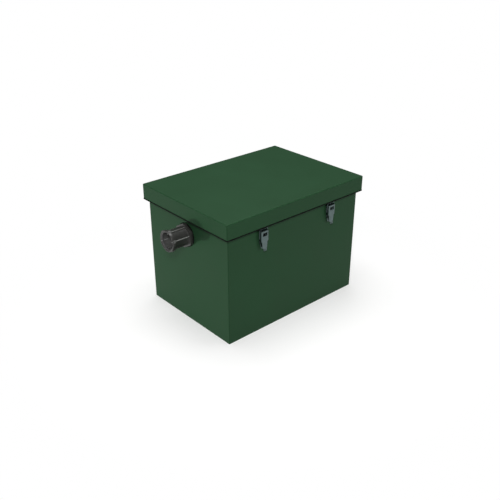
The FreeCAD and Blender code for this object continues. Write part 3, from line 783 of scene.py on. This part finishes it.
def socket_mesh(name, reach, groove):
    """A socket along X from the wall outwards, with its painted light values."""
    shapes = []
    for profile in (socket_body(reach, groove), socket_flange()):
        verts, faces = turned_loops(profile, 96)
        shapes.append((verts, faces, [painted_bore_light(vert) for vert in verts]))
    for i in range(6):
        angle = RIB_TURN + math.pi / 3 * i
        # The bars in two opposite rows get the strongest painted highlight along their crests, the others a
        # weaker one.
        light_strength = 1.0 if i in (0, 3) else 0.4
        for section, start, stop, corner_light in socket_fins(reach, groove):
            verts, faces = fin(section, start, stop, angle)
            shapes.append((verts, faces, [light_strength * share for share in corner_light] * 2))
    verts = []
    faces = []
    painted_light = []
    for more_verts, more_faces, more_light in shapes:
        faces += [tuple(i + len(verts) for i in face) for face in more_faces]
        verts += more_verts
        painted_light += more_light
    piece = new_piece(name, verts, [], faces)
    painted_pale = piece.data.attributes.new("painted_light", "FLOAT", "POINT")
    for i, share in enumerate(painted_light):
        painted_pale.data[i].value = share
    mesh = bmesh.new()
    mesh.from_mesh(piece.data)
    bmesh.ops.recalc_face_normals(mesh, faces=mesh.faces)
    mesh.to_mesh(piece.data)
    mesh.free()
    return piece


def sockets():
    """The moulded push-fit sockets: tail, hexagonal flange, ribbed sleeve and lugged bead."""
    for end, side in (("inlet", -1), ("outlet", 1)):
        node = end + "_socket"
        low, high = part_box(node)
        reach = max(abs(low.x), abs(high.x)) / MM - HALF_LENGTH
        seal_low, seal_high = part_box(end + "_lip_seal")
        groove = sorted(abs(edge) / MM - HALF_LENGTH for edge in (seal_low.x, seal_high.x))
        piece = socket_mesh(end + "_moulded_socket", reach, groove)
        turn = Matrix.Rotation(math.pi if side < 0 else 0, 4, "Z")
        place = Matrix.Translation((side * HALF_LENGTH * MM, 0, (low.z + high.z) / 2))
        piece.data.transform(place @ turn)
        shade_by_angle(piece, 38)
        piece.data.materials.append(BLACK_PLASTIC)
        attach(piece, "tank")
        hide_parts(node)


def shade_by_angle(piece, degrees):
    """Smooth shading that stays sharp over edges steeper than this."""
    for face in piece.data.polygons:
        face.use_smooth = True
    mesh = bmesh.new()
    mesh.from_mesh(piece.data)
    for edge in mesh.edges:
        if len(edge.link_faces) == 2:
            edge.smooth = edge.calc_face_angle() < math.radians(degrees)
    mesh.to_mesh(piece.data)
    mesh.free()


def join_meshes(piece, others):
    """Adds the other pieces' meshes to the first one's and removes them."""
    mesh = bmesh.new()
    mesh.from_mesh(piece.data)
    for other in others:
        mesh.from_mesh(other.data)
        bpy.data.objects.remove(other)
    mesh.to_mesh(piece.data)
    mesh.free()


def latches():
    """The levers and bails that take the place of the plain ones."""
    for place, x, side in latch_places():
        lever = lever_mesh(place + "_pressed_lever")
        join_meshes(lever, [knuckle_mesh("eye")])
        bail = bail_mesh(place + "_wire_bail")
        for piece, body, node in (
            (lever, place + "_lever", place + "_latch_lever"),
            (bail, place + "_bail", place + "_latch_bail"),
        ):
            piece.data.transform(latch_matrix(x, side))
            shade_by_angle(piece, 35)
            piece.data.materials.clear()
            piece.data.materials.append(ZINC)
            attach(piece, body)
            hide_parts(node)


def keep_flats_flat(piece):
    """Lets the large faces rule the normals, so that a flat sheet beside a bend is shaded flat."""
    modifier = piece.modifiers.new("flat_faces_flat", "WEIGHTED_NORMAL")
    modifier.mode = "FACE_AREA"
    modifier.weight = 50
    modifier.keep_sharp = True


def soften_tree():
    """Joins a carried-over node's loose triangles and shades its curved faces smooth."""
    tree, given = new_tree("curved_faces_smooth", {"Weld distance": "NodeSocketFloat"})
    joined = add(tree, "GeometryNodeMergeByDistance", inputs={
        "Geometry": given.outputs["Geometry"], "Distance": given.outputs["Weld distance"]})
    angle = add(tree, "GeometryNodeInputMeshEdgeAngle")
    gentle = add(tree, "FunctionNodeCompare", {"data_type": "FLOAT", "operation": "LESS_THAN"}, {
        0: angle.outputs["Unsigned Angle"], 1: math.radians(32)})
    faces = add(tree, "GeometryNodeSetShadeSmooth", {"domain": "FACE"}, {
        "Geometry": joined.outputs["Geometry"]})
    edges = add(tree, "GeometryNodeSetShadeSmooth", {"domain": "EDGE"}, {
        "Geometry": faces.outputs["Geometry"], "Shade Smooth": gentle.outputs["Result"]})
    add(tree, "NodeGroupOutput", inputs={"Geometry": edges.outputs["Geometry"]})
    return tree


def dress_nodes():
    """Gives each carried-over node its finish, and smooth shading where it is curved."""
    finishes = {
        "tank_coat": COAT,
        "lid_coat": COAT,
        "zinc_plate": ZINC,
        "black_plastic": BLACK_PLASTIC,
        "grey_plastic": GREY_PLASTIC,
        # The seal rubber finish also gives the lid's edge trim its painted shadow line.
        "seal_rubber": RUBBER_AND_SHADOW_LINE,
        "foam_rubber": FOAM,
    }
    smooth = soften_tree()
    for row in frame["record"]["subparts"]:
        node = frame["nodes"][row["node"]]
        node.data.materials.clear()
        node.data.materials.append(finishes[row["material_slot"]])
        modifier = node.modifiers.new("smooth", "NODES")
        modifier.node_group = smooth
        for item in smooth.interface.items_tree:
            if item.name == "Weld distance":
                modifier[item.identifier] = 0.001 * MM
        keep_flats_flat(node)


def studio():
    """The floor, the lamps, the white surroundings and the camera."""
    corners = [(-6000, -6000, 0), (6000, -6000, 0), (6000, 6000, 0), (-6000, 6000, 0)]
    floor = new_piece("studio_floor", corners, [], [(0, 1, 2, 3)])
    floor.data.materials.append(studio_floor())
    # One lamp stands under the floor's level, and the floor lets its light by.
    floor.visible_shadow = False
    middle = Vector((0, 0, lid_high.z / 2))
    # Each lamp: where it stands in metres, how wide it is, its power, and whether it fades with distance.
    for name, place, width, power, fades in (
        ("key", (-1.80, -1.89, 2.04), 0.4, KEY_POWER, True),
        ("overhead", (0.1, 0.25, 2.6), 1.8, OVERHEAD_POWER, True),
        ("low_left", (-1.33, 1.14, -0.42), 0.08, LOW_POWER, False),
        ("low_right", (1.25, -1.72, 0.14), 0.16, RIGHT_POWER, False),
    ):
        lamp = bpy.data.lights.new(name, "AREA")
        lamp.size = width
        lamp.energy = power
        holder = bpy.data.objects.new(name, lamp)
        if not fades:
            holder.visible_glossy = False
            lamp.use_nodes = True
            tree = lamp.node_tree
            tree.nodes.clear()
            even = add(tree, "ShaderNodeLightFalloff", inputs={"Strength": 1.0})
            glow = add(tree, "ShaderNodeEmission", inputs={"Strength": even.outputs["Constant"]})
            add(tree, "ShaderNodeOutputLight", inputs={"Surface": glow.outputs["Emission"]})
        bpy.context.scene.collection.objects.link(holder)
        holder.location = place
        holder.rotation_euler = (middle - holder.location).to_track_quat("-Z", "Y").to_euler()
    world = bpy.data.worlds.new("surroundings")
    bpy.context.scene.world = world
    world.use_nodes = True
    tree = world.node_tree
    tree.nodes.clear()
    path = add(tree, "ShaderNodeLightPath")
    seen = add(tree, "ShaderNodeMath", {"operation": "MAXIMUM"}, {
        0: path.outputs["Is Camera Ray"], 1: path.outputs["Is Transmission Ray"]})
    soft = add(tree, "ShaderNodeBackground", inputs={"Color": colour("ffffff"), "Strength": WORLD_STRENGTH})
    white = add(tree, "ShaderNodeBackground", inputs={"Color": colour("ffffff"), "Strength": 1.0})
    both = add(tree, "ShaderNodeMixShader", inputs={
        0: seen.outputs[0], 1: soft.outputs[0], 2: white.outputs[0]})
    add(tree, "ShaderNodeOutputWorld", inputs={"Surface": both.outputs[0]})
    # The camera is fitted to the eight corners of the tank and lid that the photo shows.
    camera = bpy.data.cameras.new("camera")
    camera.sensor_width = 36.0
    camera.lens = 47.92
    holder = bpy.data.objects.new("camera", camera)
    bpy.context.scene.collection.objects.link(holder)
    holder.location = (-1.2605, -1.4050, 1.1157)
    azimuth = math.radians(-41.498)
    elevation = math.radians(27.208)
    holder.rotation_euler = Euler((math.pi / 2 - elevation, 0, azimuth))
    bpy.context.scene.camera = holder
    view = bpy.context.scene.view_settings
    view.view_transform = "Standard"


dress_nodes()
rivets()
welds()
lip_seals()
sockets()
latches()
studio()
